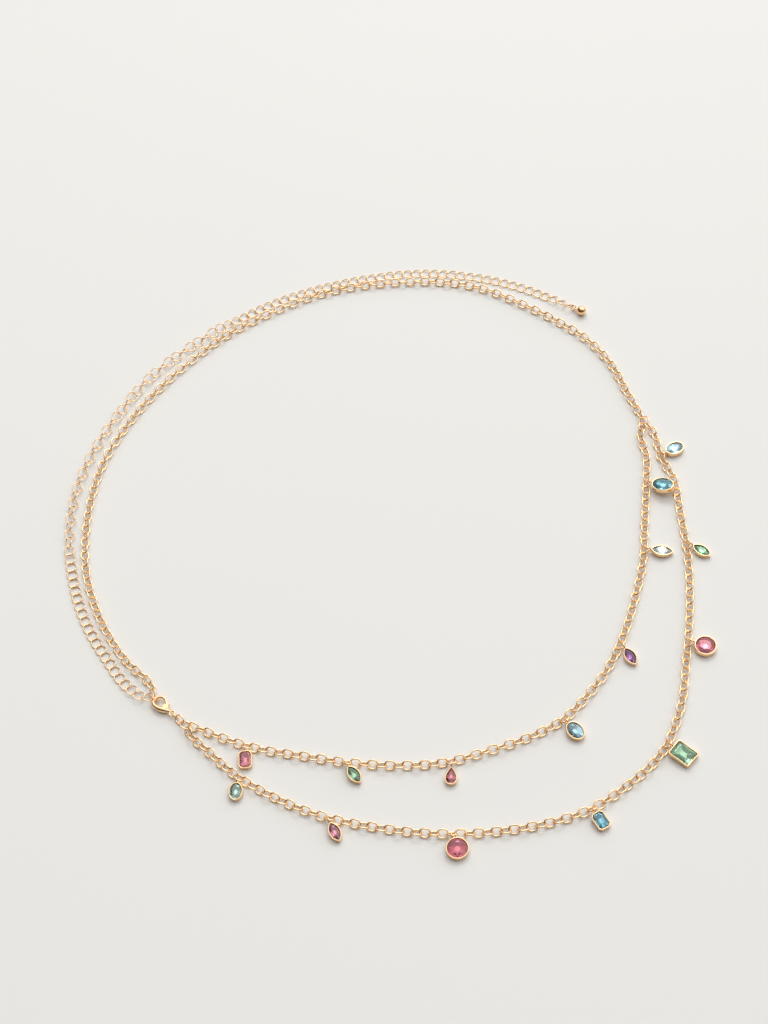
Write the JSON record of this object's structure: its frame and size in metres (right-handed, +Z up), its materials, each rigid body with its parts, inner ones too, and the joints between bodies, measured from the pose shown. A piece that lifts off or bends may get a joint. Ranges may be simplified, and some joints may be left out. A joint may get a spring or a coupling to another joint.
{
  "type": "waist chain",
  "caption": "Gold waist chain with two front strands of coloured bezel-set stone charms, a lobster clasp and a long extender chain ending in a small ball, lying in an open loop",
  "frame": {"origin": "middle of the whole in plan, on the surface that it lies on", "axes": "+Z up from the surface; -Y is the front, where the two strands with the charms are; +X is to the right seen from the front"},
  "size_m": [0.2476, 0.281, 0.0049],
  "materials": {
    "gold": "polished gold plate",
    "stone_aqua": "faceted glass",
    "stone_deep_green": "faceted glass",
    "stone_green": "faceted glass",
    "stone_ice": "faceted glass",
    "stone_mauve": "faceted glass",
    "stone_mint": "faceted glass",
    "stone_pink": "faceted glass",
    "stone_purple": "faceted glass",
    "stone_rose": "faceted glass",
    "stone_sky": "faceted glass",
    "stone_teal": "faceted glass"
  },
  "bodies": {
    "chain": {"inner_strand": "gold", "outer_strand": "gold", "back_chain": "gold", "extender_chain": "gold", "clasp_body": "gold", "jump_ring": "gold", "clasp_link": "gold", "joining_ring": "gold", "junction_ring": "gold", "hook_ring": "gold", "end_ring": "gold", "end_ball": "gold", "inner_setting_1": "gold", "inner_setting_2": "gold", "inner_setting_3": "gold", "inner_setting_4": "gold", "inner_setting_5": "gold", "inner_setting_6": "gold", "inner_setting_7": "gold", "outer_setting_1": "gold", "outer_setting_2": "gold", "outer_setting_3": "gold", "outer_setting_4": "gold", "outer_setting_5": "gold", "outer_setting_6": "gold", "outer_setting_7": "gold", "outer_setting_8": "gold", "inner_stone_1": "stone_pink", "inner_stone_2": "stone_green", "inner_stone_3": "stone_pink", "inner_stone_4": "stone_sky", "inner_stone_5": "stone_purple", "inner_stone_6": "stone_ice", "inner_stone_7": "stone_aqua", "outer_stone_1": "stone_mint", "outer_stone_2": "stone_mauve", "outer_stone_3": "stone_rose", "outer_stone_4": "stone_teal", "outer_stone_5": "stone_green", "outer_stone_6": "stone_rose", "outer_stone_7": "stone_deep_green", "outer_stone_8": "stone_sky"},
    "lever": {"clasp_lever": "gold"}
  },
  "joints": [
    {"name": "lever_hinge", "type": "hinge", "parent": "chain", "child": "lever", "pos_m": [-0.08832, -0.06016, 0.0014], "axis": [0, 0, 1], "range_deg": [0, 25], "stiffness_Nm_per_rad": 0.004}
  ]
}
